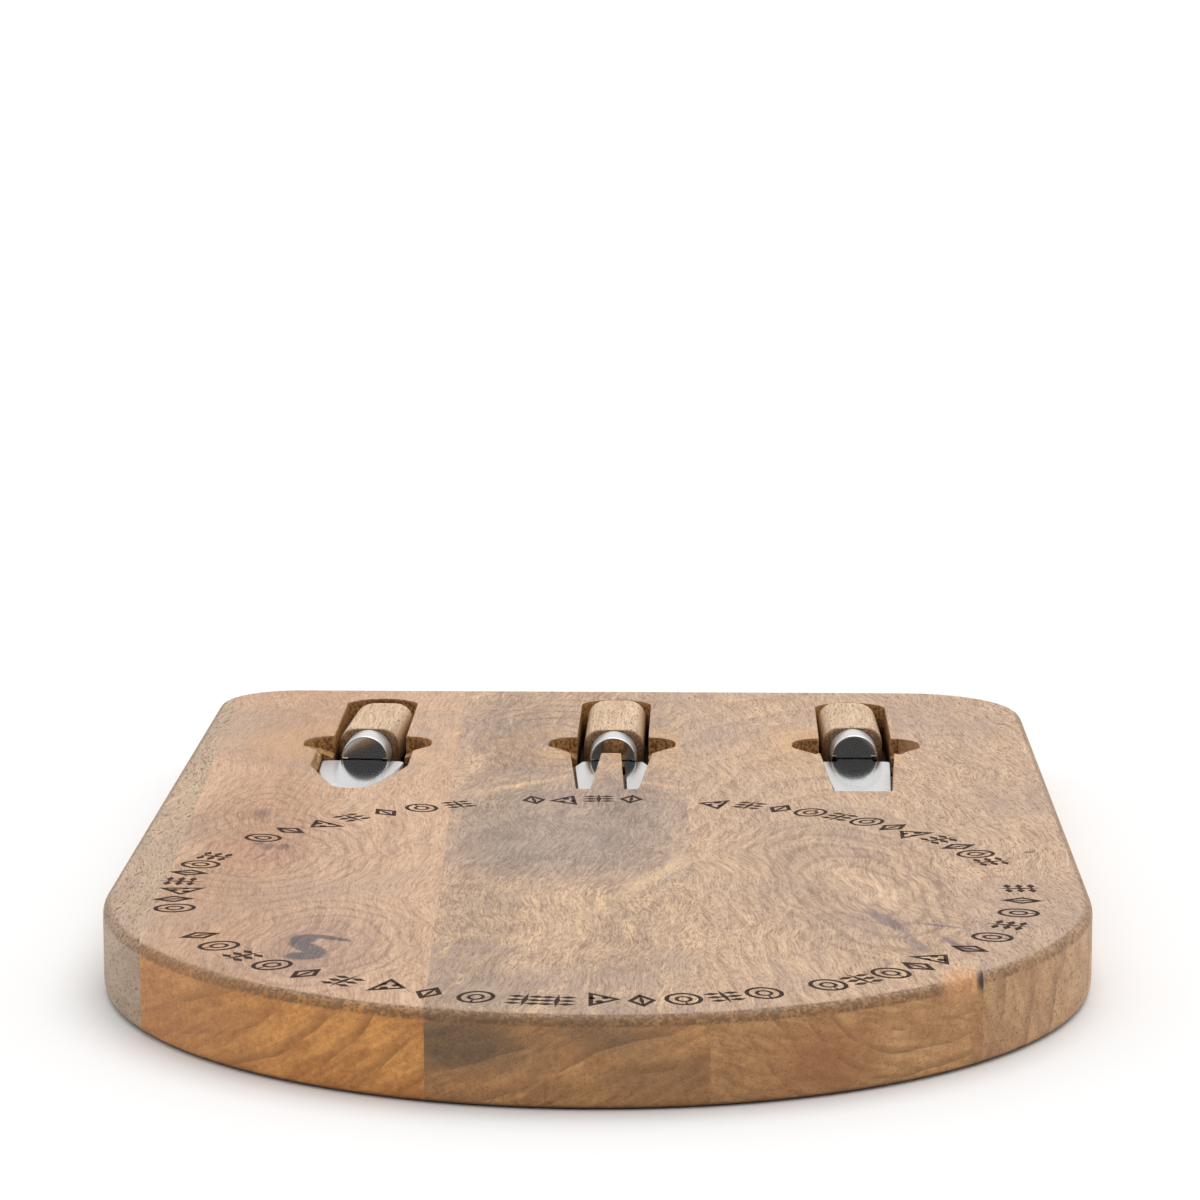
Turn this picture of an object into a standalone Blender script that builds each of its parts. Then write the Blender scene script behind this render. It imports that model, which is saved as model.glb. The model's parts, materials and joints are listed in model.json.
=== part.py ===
"""Cheese board with three lift-out cheese tools: a spade knife, a two-tined fork and a chisel knife.

Metres, +Z up. The origin is the middle of the board's underside, +Y runs towards the straight back
edge and -Y towards the rounded front. Each tool hangs on an empty at the middle of its ferrule's
front face, with the blade along the empty's -Y and the handle along its +Y. A blade's upper face
is level with the middle of its ferrule.
"""

import math

import bmesh
import bpy
from mathutils import Matrix, Vector

# Board blank
BOARD_LENGTH = 0.3985
BOARD_WIDTH = 0.258
BACK_TAPER = 0.003
BOARD_THICKNESS = 0.023
FRONT_DEPTH = 0.1245
BACK_LEFT_RADIUS = 0.024
BACK_RIGHT_RADIUS = 0.035
EDGE_RADIUS = 0.003
FLAT_ANGLE = math.radians(0.1)

# Glued staves: where each seam crosses the middle of the board, in shares of its width, and how far
# the seams are turned
SEAM_SHARES = (-0.4516, -0.1698, 0.0915, 0.3523)
SEAM_TURN = math.radians(1.76)
SEAM_GAP = 0.0003

# Pockets: handle slots, finger notches and the shallower bed under each blade
SLOT_SIDE_ROOM = 0.00185
SLOT_DEPTH = 0.014
SLOT_TO_BACK = 0.0162
SLOT_ARCH = 0.0075
SLOT_CORNER_RADIUS = 0.0015
NOTCH_FROM_SLOT_SIDE = 0.0084
NOTCH_WIDTH = 0.0137
NOTCH_FROM_SLOT_END = 0.0664
NOTCH_BACK_RADIUS = 0.0085
NOTCH_FRONT_RADIUS = 0.0045
NOTCH_SLANT = 0.0095
NOTCH_SLANT_ACROSS = 0.0067
NOTCH_INNER_SLANT = 0.0019
NOTCH_TIP_DEPTH = 0.0018
NOTCH_INNER_DEPTH = 0.0055
BED_ROOM = 0.00055
BED_FRONT_CORNER = 0.001
DEEP_FROM_NOTCH = 0.0045
FERRULE_ROOM = 0.002
HEEL_ROOM = 0.001

# Parts that all three tools share
TOOL_RISE = 0.0003
HANDLE_WIDTH = 0.0183
HANDLE_HEIGHT = 0.0153
HANDLE_CORNER = 0.005
HANDLE_FRONT_ROUND = 0.0015
HANDLE_FRONT_FLATTEN = 0.3
HANDLE_END_DEPTH = 0.011
HANDLE_END_DROP = 0.004
FERRULE_STEP = 0.00045
FERRULE_LENGTH = 0.010
FERRULE_WALL = 0.0011
FERRULE_EDGE = 0.0005
TENON_SETBACK = 0.0012
TENON_ROOT = 0.004
BLADE_THICKNESS = 0.0013
NECK_HALF_WIDTH = 0.0055
TANG_HALF_WIDTH = 0.003
TANG_LENGTH = 0.026
TANG_STEP = 0.0014
TANG_CORNER = 0.001
FIT_GAP = 0.0003

# Spade knife
SPADE_SHARE = -0.2915
SPADE_SHIFT = -0.0013
SPADE_TURN = math.radians(-3.0)
SPADE_HANDLE = 0.048
SPADE_END_GAP = 0.0073
SPADE_LENGTH = 0.054
SPADE_HEEL_HALF = 0.0126
SPADE_SHOULDER_HALF = 0.0118
SPADE_TIP_RADIUS = 0.0046
SPADE_TIP_ANGLE = math.radians(13)
SPADE_SHOULDER_RADIUS = 0.030
SPADE_HEEL_CORNER = 0.0022
SPADE_HEEL = 0.002
SPADE_SIDE_ROOM_SHARE = 0.0333
SPADE_FRONT_ROOM_SHARE = 0.261
SPADE_BED_ANGLE = math.radians(17.4)
SPADE_BED_CORNER = 0.015

# Two-tined fork
FORK_SHARE = -0.0019
FORK_SHIFT = 0.0002
FORK_TURN = math.radians(0.0)
FORK_HANDLE = 0.0545
FORK_END_GAP = 0.0008
FORK_LENGTH = 0.066
FORK_HEEL_HALF = 0.0092
FORK_SHOULDER_HALF = 0.0113
FORK_SHOULDER = 0.0085
FORK_TIP_HALF = 0.008
FORK_TIP_INNER = 0.006
FORK_CROTCH = 0.0065
FORK_CROTCH_HALF = 0.0037
FORK_HEEL = 0.0015
FORK_HEEL_CORNER = 0.0008
FORK_SHOULDER_CORNER = 0.001
FORK_TIP_CORNER = 0.0007
FORK_CROTCH_ROUND = 0.0033
FORK_SIDE_ROOM = 0.0011
FORK_BACK_ROOM = 0.0022
FORK_FRONT_ROOM = 0.0021
TONGUE_ROOM = 0.0012
TONGUE_START = 0.0175
TONGUE_CORNER = 0.0012
TONGUE_TIP_CORNER = 0.0006

# Chisel knife
CHISEL_SHARE = 0.286
CHISEL_SHIFT = -0.0001
CHISEL_TURN = math.radians(1.3)
CHISEL_HANDLE = 0.047
CHISEL_SLOT_SHORT = 0.0028
CHISEL_END_GAP = 0.0005
CHISEL_LENGTH = 0.071
CHISEL_HEEL_HALF = 0.0106
CHISEL_FRONT_HALF = 0.007
CHISEL_HEEL = 0.0045
CHISEL_CORNER = 0.0018
CHISEL_FRONT_CORNER = 0.0006
CHISEL_SIDE_ROOM = 0.0014
CHISEL_FRONT_ROOM = 0.003

# Measures that follow from the ones above
BACK_WIDTH = BOARD_WIDTH - BACK_TAPER
SEAM_X = tuple(share * BOARD_WIDTH for share in SEAM_SHARES)
BACK_Y = BOARD_LENGTH / 2
ARC_Y = FRONT_DEPTH - BOARD_LENGTH / 2
SLOT_END_Y = BACK_Y - SLOT_TO_BACK
CHISEL_SLOT_END_Y = SLOT_END_Y - CHISEL_SLOT_SHORT
NOTCH_Y = SLOT_END_Y - NOTCH_FROM_SLOT_END
SLOT_FLOOR = BOARD_THICKNESS - SLOT_DEPTH
SLOT_HALF_WIDTH = HANDLE_WIDTH / 2 + SLOT_SIDE_ROOM
NOTCH_REACH = SLOT_HALF_WIDTH + NOTCH_FROM_SLOT_SIDE
AXIS_Z = SLOT_FLOOR + TOOL_RISE + HANDLE_HEIGHT / 2
BED_FLOOR = AXIS_Z - BLADE_THICKNESS - BED_ROOM
FERRULE_RADIUS = HANDLE_HEIGHT / 2 - FERRULE_STEP
SPADE_SIDE_ROOM = SPADE_LENGTH * SPADE_SIDE_ROOM_SHARE
SPADE_FRONT_ROOM = SPADE_LENGTH * SPADE_FRONT_ROOM_SHARE
ABOVE = 0.006
ARC_STEP = math.radians(9)

TOOLS = {
    "spade": (SPADE_SHARE, SPADE_SHIFT, SPADE_TURN, SPADE_HANDLE, SPADE_END_GAP, SLOT_END_Y),
    "fork": (FORK_SHARE, FORK_SHIFT, FORK_TURN, FORK_HANDLE, FORK_END_GAP, SLOT_END_Y),
    "chisel": (
        CHISEL_SHARE, CHISEL_SHIFT, CHISEL_TURN, CHISEL_HANDLE, CHISEL_END_GAP, CHISEL_SLOT_END_Y
    ),
}


def clear_scene():
    for old in list(bpy.data.objects):
        bpy.data.objects.remove(old, do_unlink=True)


def new_collection(name):
    group = bpy.data.collections.new(name)
    bpy.context.scene.collection.children.link(group)
    return group


def surface(name, colour, roughness, metallic=0.0):
    """A Principled material."""
    made = bpy.data.materials.new(name)
    made.use_nodes = True
    made.diffuse_color = (*colour, 1.0)
    shader = made.node_tree.nodes["Principled BSDF"]
    shader.inputs["Base Color"].default_value = (*colour, 1.0)
    shader.inputs["Roughness"].default_value = roughness
    shader.inputs["Metallic"].default_value = metallic
    return made


def rounded(corners):
    """The outline through (x, y, radius) corners, with an arc in place of each corner that has a radius."""
    outline = []
    for i, (x, y, radius) in enumerate(corners):
        here = Vector((x, y))
        to_last = (Vector(corners[i - 1][:2]) - here).normalized()
        to_next = (Vector(corners[(i + 1) % len(corners)][:2]) - here).normalized()
        opening = to_last.angle(to_next)
        if radius == 0 or opening > math.pi - 1e-4:
            outline.append(here)
            continue
        reach = radius / math.tan(opening / 2)
        middle = here + (to_last + to_next).normalized() * radius / math.sin(opening / 2)
        first = here + to_last * reach - middle
        last = here + to_next * reach - middle
        sweep = first.angle_signed(last)
        steps = max(2, math.ceil(abs(sweep) / ARC_STEP))
        for k in range(steps + 1):
            outline.append(middle + Matrix.Rotation(-sweep * k / steps, 2) @ first)
    return [(point.x, point.y) for point in outline]


def mirrored(half):
    """A closed outline from its right half, given from back to front: the left half is its mirror image."""
    return half + [(-x, y, radius) for x, y, radius in reversed(half) if x != 0]


def flat_solid(name, outline, low, high):
    """A closed flat outline in plan, filled and extruded from z = low to z = high, as a mesh."""
    curve = bpy.data.curves.new(name, "CURVE")
    curve.dimensions = "2D"
    curve.fill_mode = "BOTH"
    curve.extrude = (high - low) / 2
    spline = curve.splines.new("POLY")
    spline.points.add(len(outline) - 1)
    for point, (x, y) in zip(spline.points, outline):
        point.co = (x, y, 0, 1)
    spline.use_cyclic_u = True
    drawn = bpy.data.objects.new(name + "_curve", curve)
    bpy.context.scene.collection.objects.link(drawn)
    graph = bpy.context.evaluated_depsgraph_get()
    mesh = bpy.data.meshes.new_from_object(drawn.evaluated_get(graph))
    bpy.data.objects.remove(drawn)
    bpy.data.curves.remove(curve)
    mesh.name = name
    mesh.transform(Matrix.Translation((0, 0, (low + high) / 2)))
    shape = bmesh.new()
    shape.from_mesh(mesh)
    bmesh.ops.remove_doubles(shape, verts=shape.verts, dist=1e-6)
    bmesh.ops.recalc_face_normals(shape, faces=shape.faces)
    shape.to_mesh(mesh)
    shape.free()
    return mesh


def box_solid(name, low, high):
    """A box between two opposite corners."""
    low, high = Vector(low), Vector(high)
    shape = bmesh.new()
    bmesh.ops.create_cube(shape, size=1)
    place = Matrix.Translation((low + high) / 2) @ Matrix.Diagonal((*(high - low), 1))
    bmesh.ops.transform(shape, matrix=place, verts=shape.verts)
    return finished(shape, name)


def finished(shape, name):
    mesh = bpy.data.meshes.new(name)
    shape.to_mesh(mesh)
    shape.free()
    return mesh


def place(name, mesh, group, material=None, parent=None):
    """A new object that shows this mesh."""
    made = bpy.data.objects.new(name, mesh)
    group.objects.link(made)
    made.parent = parent
    if material:
        mesh.materials.clear()
        mesh.materials.append(material)
        mesh.shade_smooth()
        mesh.set_sharp_from_angle(angle=math.radians(30))
    return made


def helper(name, mesh, group, parent=None):
    """A cutter or a piece to be joined, which isn't part of the object."""
    made = place(name, mesh, group, parent=parent)
    made.hide_render = True
    made.display_type = "WIRE"
    return made


def boolean(target, other, operation):
    step = target.modifiers.new(other.name, "BOOLEAN")
    step.solver = "EXACT"
    step.operation = operation
    step.object = other


# Board


def board_outline():
    """The plan of the board: a half-oval front, slightly tapering sides and two rounded back corners."""
    half, back_half = BOARD_WIDTH / 2, BACK_WIDTH / 2
    count = 72
    front = []
    for k in range(count + 1):
        angle = math.pi + math.pi * k / count
        front.append((half * math.cos(angle), ARC_Y + FRONT_DEPTH * math.sin(angle), 0))
    back = [(back_half, BACK_Y, BACK_RIGHT_RADIUS), (-back_half, BACK_Y, BACK_LEFT_RADIUS)]
    return rounded(front + back)


def board_blank(cutters):
    """The whole board before it is cut, with rounded rims."""
    mesh = flat_solid("board_blank", board_outline(), 0, BOARD_THICKNESS)
    shape = bmesh.new()
    shape.from_mesh(mesh)
    # each flat end is one face, so that the rounding can take its full radius
    level = [edge for edge in shape.edges if edge.calc_face_angle() < FLAT_ANGLE]
    bmesh.ops.dissolve_edges(shape, edges=level)
    shape.to_mesh(mesh)
    shape.free()
    blank = helper("board_blank", mesh, cutters)
    rim = blank.modifiers.new("rims", "BEVEL")
    rim.width = EDGE_RADIUS
    rim.segments = 4
    rim.limit_method = "ANGLE"
    rim.angle_limit = math.radians(60)
    rim.use_clamp_overlap = False
    graph = bpy.context.evaluated_depsgraph_get()
    rounded_mesh = bpy.data.meshes.new_from_object(blank.evaluated_get(graph))
    bpy.data.objects.remove(blank)
    return rounded_mesh


def stave_slab(number, cutters):
    """A long box as wide as one stave, turned with the seams."""
    edges = (-BOARD_WIDTH, *SEAM_X, BOARD_WIDTH)
    low = (edges[number - 1] + SEAM_GAP / 2, -BOARD_LENGTH, -ABOVE)
    high = (edges[number] - SEAM_GAP / 2, BOARD_LENGTH, BOARD_THICKNESS + ABOVE)
    slab = helper(f"stave_{number}_slab", box_solid("slab", low, high), cutters)
    slab.rotation_euler.z = SEAM_TURN
    return slab


# Pockets


def ferrule_front(tool):
    """How far back the middle of this tool's ferrule face lies."""
    handle_length, end_gap, slot_end = TOOLS[tool][3:]
    return slot_end - end_gap - handle_length - FIT_GAP - FERRULE_LENGTH


def deep_front(tool):
    """Where the deep slot ends and the blade's bed begins."""
    return min(NOTCH_Y - NOTCH_WIDTH / 2 - DEEP_FROM_NOTCH, ferrule_front(tool) - FERRULE_ROOM)


def slot_outline(tool):
    """The handle's slot: straight sides and an arched back end."""
    half = SLOT_HALF_WIDTH
    end_y = TOOLS[tool][5]
    corner_y = end_y - SLOT_ARCH
    radius = (half**2 + SLOT_ARCH**2) / (2 * SLOT_ARCH)
    spread = math.asin(half / radius)
    arch = []
    count = 14
    for k in range(1, count):
        angle = spread * (1 - 2 * k / count)
        arch.append((radius * math.sin(angle), end_y - radius * (1 - math.cos(angle)), 0))
    front = deep_front(tool)
    corners = [(half, front, 0), (half, corner_y, SLOT_CORNER_RADIUS)]
    corners += arch + [(-half, corner_y, SLOT_CORNER_RADIUS), (-half, front, 0)]
    return rounded(corners)


def notch_solid(side):
    """A finger notch beside the slot, on side 1 or -1, with a floor that falls from its tip to the slot."""
    low_y, high_y = NOTCH_Y - NOTCH_WIDTH / 2, NOTCH_Y + NOTCH_WIDTH / 2
    inner = SLOT_HALF_WIDTH / 2
    outline = rounded([
        (inner, high_y, 0),
        (NOTCH_REACH, high_y, NOTCH_BACK_RADIUS),
        (NOTCH_REACH, low_y, NOTCH_FRONT_RADIUS),
        (NOTCH_REACH - NOTCH_SLANT_ACROSS, low_y - NOTCH_SLANT, 0),
        (inner, low_y - NOTCH_INNER_SLANT, 0),
    ])
    mesh = flat_solid("notch", outline, BOARD_THICKNESS - NOTCH_TIP_DEPTH, BOARD_THICKNESS + ABOVE)
    fall = (NOTCH_INNER_DEPTH - NOTCH_TIP_DEPTH) / (NOTCH_REACH - SLOT_HALF_WIDTH)
    for vertex in mesh.vertices:
        if vertex.co.z < BOARD_THICKNESS:
            vertex.co.z -= fall * (NOTCH_REACH - vertex.co.x)
    if side < 0:
        mesh.transform(Matrix.Scale(-1, 4, (1, 0, 0)))
        mesh.flip_normals()
    return mesh


def spade_point(half, length, tip_radius, angle, corner):
    """The right half of a tapering front: a shoulder, then a straight edge at this angle to a round tip."""
    apex = length + tip_radius * (1 / math.sin(angle) - 1)
    shoulder = apex - half / math.tan(angle)
    return [(half, -shoulder, corner), (0, -apex, tip_radius)]


def bed_outline(tool):
    """The bed that the blade lies in, round the blade with room at its sides and front."""
    front = ferrule_front(tool)
    if tool == "spade":
        half = SPADE_HEEL_HALF + SPADE_SIDE_ROOM
        tip = SPADE_TIP_RADIUS + SPADE_SIDE_ROOM
        reach = SPADE_LENGTH + SPADE_FRONT_ROOM
        point = spade_point(half, reach, tip, SPADE_BED_ANGLE, SPADE_BED_CORNER)
        corners = mirrored([(half, HEEL_ROOM - SPADE_HEEL, 0)] + point)
    elif tool == "fork":
        reach = FORK_LENGTH + FORK_FRONT_ROOM
        root = TONGUE_START
        outer = (FORK_TIP_HALF + FORK_SIDE_ROOM, -reach, BED_FRONT_CORNER)
        inner = (fork_inner(reach) - TONGUE_ROOM, -reach, TONGUE_TIP_CORNER)
        start = (fork_inner(root) - TONGUE_ROOM, -root, TONGUE_CORNER)
        wide = FORK_SHOULDER_HALF + FORK_BACK_ROOM
        corners = mirrored([(wide, HEEL_ROOM - FORK_HEEL, 0), outer, inner, start])
    else:
        reach = CHISEL_LENGTH + CHISEL_FRONT_ROOM
        wide = CHISEL_HEEL_HALF + CHISEL_SIDE_ROOM
        narrow = CHISEL_FRONT_HALF + CHISEL_SIDE_ROOM
        front_corner = (narrow, -reach, BED_FRONT_CORNER)
        corners = mirrored([(wide, HEEL_ROOM - CHISEL_HEEL, 0), front_corner])
    return [(x, y + front) for x, y in rounded(corners)]


def pocket_cutters(tool, cutters):
    """The four solids that hollow one tool's pocket: slot, blade bed and two finger notches."""
    top = BOARD_THICKNESS + ABOVE
    meshes = {
        "slot": flat_solid("slot", slot_outline(tool), SLOT_FLOOR, top),
        "bed": flat_solid("bed", bed_outline(tool), BED_FLOOR, top),
        "right_notch": notch_solid(1),
        "left_notch": notch_solid(-1),
    }
    made = []
    for name, mesh in meshes.items():
        cutter = helper(f"{tool}_{name}_cutter", mesh, cutters)
        cutter.location.x = TOOLS[tool][0] * BOARD_WIDTH
        made.append(cutter)
    return made


def reaches(cutter, number):
    """Whether this cutter's plan touches the stave with this number."""
    edges = (-BOARD_WIDTH, *SEAM_X, BOARD_WIDTH)
    sideways = Matrix.Rotation(-SEAM_TURN, 4, "Z") @ Matrix.Translation(cutter.location)
    across = [(sideways @ vertex.co).x for vertex in cutter.data.vertices]
    return max(across) > edges[number - 1] and min(across) < edges[number]


def build_board(parts, cutters, wood):
    blank = board_blank(cutters)
    pockets = [cutter for tool in TOOLS for cutter in pocket_cutters(tool, cutters)]
    for number in range(1, len(SEAM_X) + 2):
        stave = place(f"board_stave_{number}", blank.copy(), parts, wood)
        boolean(stave, stave_slab(number, cutters), "INTERSECT")
        for cutter in pockets:
            if reaches(cutter, number):
                boolean(stave, cutter, "DIFFERENCE")


# Tools


def tang_corners():
    """The right half of the neck and tang, from the hidden end forwards."""
    return [
        (TANG_HALF_WIDTH, TANG_LENGTH, TANG_CORNER),
        (TANG_HALF_WIDTH, TANG_STEP, 0),
        (NECK_HALF_WIDTH, TANG_STEP, 0),
    ]


def spade_blade():
    heel = [(NECK_HALF_WIDTH, -SPADE_HEEL, 0), (SPADE_HEEL_HALF, -SPADE_HEEL, SPADE_HEEL_CORNER)]
    point = spade_point(
        SPADE_SHOULDER_HALF, SPADE_LENGTH, SPADE_TIP_RADIUS, SPADE_TIP_ANGLE, SPADE_SHOULDER_RADIUS
    )
    return mirrored(tang_corners() + heel + point)


def fork_inner(forward):
    """Half the gap between the tines, this far in front of the ferrule."""
    share = (forward - FORK_CROTCH) / (FORK_LENGTH - FORK_CROTCH)
    return FORK_CROTCH_HALF + (FORK_TIP_INNER - FORK_CROTCH_HALF) * share


def fork_blade():
    blade = [
        (NECK_HALF_WIDTH, -FORK_HEEL, 0),
        (FORK_HEEL_HALF, -FORK_HEEL, FORK_HEEL_CORNER),
        (FORK_SHOULDER_HALF, -FORK_SHOULDER, FORK_SHOULDER_CORNER),
        (FORK_TIP_HALF, -FORK_LENGTH, FORK_TIP_CORNER),
        (FORK_TIP_INNER, -FORK_LENGTH, FORK_TIP_CORNER),
        (FORK_CROTCH_HALF, -FORK_CROTCH, FORK_CROTCH_ROUND),
    ]
    return mirrored(tang_corners() + blade)


def chisel_blade():
    blade = [
        (NECK_HALF_WIDTH, -CHISEL_HEEL, 0),
        (CHISEL_HEEL_HALF, -CHISEL_HEEL, CHISEL_CORNER),
        (CHISEL_FRONT_HALF, -CHISEL_LENGTH, CHISEL_FRONT_CORNER),
    ]
    return mirrored(tang_corners() + blade)


BLADES = {"spade": spade_blade, "fork": fork_blade, "chisel": chisel_blade}


def ferrule_mesh():
    """The profile of a turned cap, from the middle of its face outwards and back along its bore."""
    bore = FERRULE_RADIUS - FERRULE_WALL
    profile = [(0.0, 0.0)]
    steps = 4
    for k in range(steps + 1):
        angle = math.pi / 2 * (1 - k / steps)
        across = FERRULE_RADIUS - FERRULE_EDGE * (1 - math.cos(angle))
        down = FERRULE_EDGE * (1 - math.sin(angle))
        profile.append((across, -down))
    profile += [(FERRULE_RADIUS, -FERRULE_LENGTH), (bore, -FERRULE_LENGTH), (bore, -FERRULE_WALL)]
    profile.append((0.0, -FERRULE_WALL))
    shape = bmesh.new()
    points = [shape.verts.new((x, 0, z)) for x, z in profile]
    for first, second in zip(points, points[1:]):
        shape.edges.new((first, second))
    return finished(shape, "ferrule")


def build_ferrule(tool, hold, parts, cutters, steel):
    """A turned steel cap, slotted across its face for the neck of the blade."""
    ferrule = place(f"{tool}_ferrule", ferrule_mesh(), parts, steel, hold)
    ferrule.rotation_euler.x = math.pi / 2
    turn = ferrule.modifiers.new("turn", "SCREW")
    turn.steps = turn.render_steps = 48
    turn.use_merge_vertices = True
    turn.merge_threshold = 1e-5
    reach = NECK_HALF_WIDTH + FIT_GAP
    low = (-reach, -FERRULE_WALL, -BLADE_THICKNESS - FIT_GAP)
    high = (reach, FERRULE_WALL * 2, FIT_GAP)
    slit = helper(f"{tool}_ferrule_slit", box_solid("slit", low, high), cutters, hold)
    boolean(ferrule, slit, "DIFFERENCE")


def handle_ring(half_width, half_height, along):
    """One section of the handle: a rounded rectangle across the tool, this far along it."""
    radius = min(HANDLE_CORNER, 0.95 * half_width, 0.95 * half_height)
    ring = []
    steps = 5
    for quarter, (sx, sz) in enumerate(((1, 1), (-1, 1), (-1, -1), (1, -1))):
        for k in range(steps + 1):
            angle = math.pi / 2 * (quarter + k / steps)
            x = sx * (half_width - radius) + radius * math.cos(angle)
            z = sz * (half_height - radius) + radius * math.sin(angle)
            ring.append((x, along, z))
    return ring


def handle_mesh(length):
    """The handle's body, lofted from its front shoulder to an end that is round in plan."""
    half_width, half_height = HANDLE_WIDTH / 2, HANDLE_HEIGHT / 2
    start = FERRULE_LENGTH + FIT_GAP
    rings = []
    for k in range(4):
        angle = math.pi / 2 * k / 3
        inset = HANDLE_FRONT_ROUND * (1 - math.sin(angle))
        along = start + HANDLE_FRONT_ROUND * (1 - math.cos(angle))
        rings.append(handle_ring(half_width - inset, half_height - inset * HANDLE_FRONT_FLATTEN, along))
    round_start = start + length - HANDLE_END_DEPTH
    steps = 9
    for k in range(steps + 1):
        angle = math.radians(82) * k / steps
        width = half_width * math.cos(angle)
        height = half_height - HANDLE_END_DROP * (1 - math.cos(angle))
        rings.append(handle_ring(width, height, round_start + HANDLE_END_DEPTH * math.sin(angle)))
    shape = bmesh.new()
    loops = [[shape.verts.new(point) for point in ring] for ring in rings]
    for first, second in zip(loops, loops[1:]):
        for i in range(len(first)):
            j = (i + 1) % len(first)
            shape.faces.new((first[i], first[j], second[j], second[i]))
    shape.faces.new(loops[0])
    shape.faces.new(list(reversed(loops[-1])))
    bmesh.ops.recalc_face_normals(shape, faces=shape.faces)
    return finished(shape, "handle")


def build_handle(tool, hold, parts, cutters, wood):
    """A wooden handle with a round tenon inside the ferrule and a mortise for the tang."""
    length = TOOLS[tool][3]
    handle = place(f"{tool}_handle", handle_mesh(length), parts, wood, hold)
    tenon_front = FERRULE_WALL + TENON_SETBACK
    tenon_back = FERRULE_LENGTH + TENON_ROOT
    radius = FERRULE_RADIUS - FERRULE_WALL - FIT_GAP
    shape = bmesh.new()
    bmesh.ops.create_cone(
        shape, cap_ends=True, segments=32, radius1=radius, radius2=radius, depth=tenon_back - tenon_front
    )
    upright = Matrix.Rotation(math.pi / 2, 4, "X")
    shift = Matrix.Translation((0, (tenon_front + tenon_back) / 2, 0))
    bmesh.ops.transform(shape, matrix=shift @ upright, verts=shape.verts)
    tenon = helper(f"{tool}_tenon", finished(shape, "tenon"), cutters, hold)
    boolean(handle, tenon, "UNION")
    reach = TANG_HALF_WIDTH + FIT_GAP
    low = (-reach, 0, -BLADE_THICKNESS - FIT_GAP)
    high = (reach, TANG_LENGTH + FIT_GAP, FIT_GAP)
    mortise = helper(f"{tool}_mortise", box_solid("mortise", low, high), cutters, hold)
    boolean(handle, mortise, "DIFFERENCE")


def build_tool(tool, parts, cutters, looks):
    share, shift, turn = TOOLS[tool][:3]
    hold = bpy.data.objects.new(f"{tool}_hold", None)
    parts.objects.link(hold)
    hold.location = (share * BOARD_WIDTH + shift, ferrule_front(tool), AXIS_Z)
    hold.rotation_euler.z = turn
    outline = rounded(BLADES[tool]())
    blade = flat_solid(f"{tool}_blade", outline, -BLADE_THICKNESS, 0)
    place(f"{tool}_blade", blade, parts, looks["blade_steel"], hold)
    build_ferrule(tool, hold, parts, cutters, looks["ferrule_steel"])
    build_handle(tool, hold, parts, cutters, looks["handle_wood"])


def main():
    clear_scene()
    parts = new_collection("cheese_board_and_tools")
    cutters = new_collection("cutters")
    looks = {
        "board_wood": surface("board_wood", (0.52, 0.36, 0.27), 0.55),
        "handle_wood": surface("handle_wood", (0.60, 0.43, 0.28), 0.5),
        "blade_steel": surface("blade_steel", (0.80, 0.80, 0.81), 0.06, 1.0),
        "ferrule_steel": surface("ferrule_steel", (0.82, 0.82, 0.83), 0.05, 1.0),
    }
    build_board(parts, cutters, looks["board_wood"])
    for tool in TOOLS:
        build_tool(tool, parts, cutters, looks)


main()
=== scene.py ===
import json
import math

import bmesh
import bpy
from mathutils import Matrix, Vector

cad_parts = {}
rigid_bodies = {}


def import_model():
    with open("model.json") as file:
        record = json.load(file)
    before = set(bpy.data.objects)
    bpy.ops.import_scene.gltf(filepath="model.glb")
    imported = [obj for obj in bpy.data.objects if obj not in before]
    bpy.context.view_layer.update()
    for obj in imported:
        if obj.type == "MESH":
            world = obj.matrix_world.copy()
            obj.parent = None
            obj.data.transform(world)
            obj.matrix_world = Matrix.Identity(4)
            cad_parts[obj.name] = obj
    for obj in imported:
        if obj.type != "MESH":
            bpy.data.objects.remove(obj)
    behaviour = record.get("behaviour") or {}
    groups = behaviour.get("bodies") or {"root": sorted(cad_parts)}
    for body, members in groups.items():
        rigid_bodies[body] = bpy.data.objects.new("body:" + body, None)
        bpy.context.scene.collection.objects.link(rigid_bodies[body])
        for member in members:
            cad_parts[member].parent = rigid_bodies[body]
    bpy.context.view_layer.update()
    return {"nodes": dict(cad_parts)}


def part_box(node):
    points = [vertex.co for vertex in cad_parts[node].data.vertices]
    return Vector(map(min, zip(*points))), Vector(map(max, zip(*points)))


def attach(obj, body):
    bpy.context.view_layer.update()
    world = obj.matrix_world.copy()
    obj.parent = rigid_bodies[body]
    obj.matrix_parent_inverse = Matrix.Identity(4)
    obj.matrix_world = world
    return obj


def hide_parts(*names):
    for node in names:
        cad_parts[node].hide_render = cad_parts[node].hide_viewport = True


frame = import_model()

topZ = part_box("board_stave_3")[1].z  # the flat top of the board
tools = ("spade", "fork", "chisel")


# small helpers that every piece uses


def deselectAll():
    if bpy.context.mode != "OBJECT":
        bpy.ops.object.mode_set(mode="OBJECT")
    bpy.ops.object.select_all(action="DESELECT")


def makeActive(piece):
    deselectAll()
    piece.select_set(True)
    bpy.context.view_layer.objects.active = piece


def pick(piece, kind, wanted):
    # edit mode, with only the edges or faces selected that pass the test
    makeActive(piece)
    bpy.ops.object.mode_set(mode="EDIT")
    bpy.ops.mesh.select_mode(type=kind)
    bpy.ops.mesh.select_all(action="DESELECT")
    shape = bmesh.from_edit_mesh(piece.data)
    shape.normal_update()
    found = [part for part in (shape.edges if kind == "EDGE" else shape.faces) if wanted(part)]
    for part in found:
        part.select_set(True)
    bmesh.update_edit_mesh(piece.data)
    return len(found)


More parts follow.
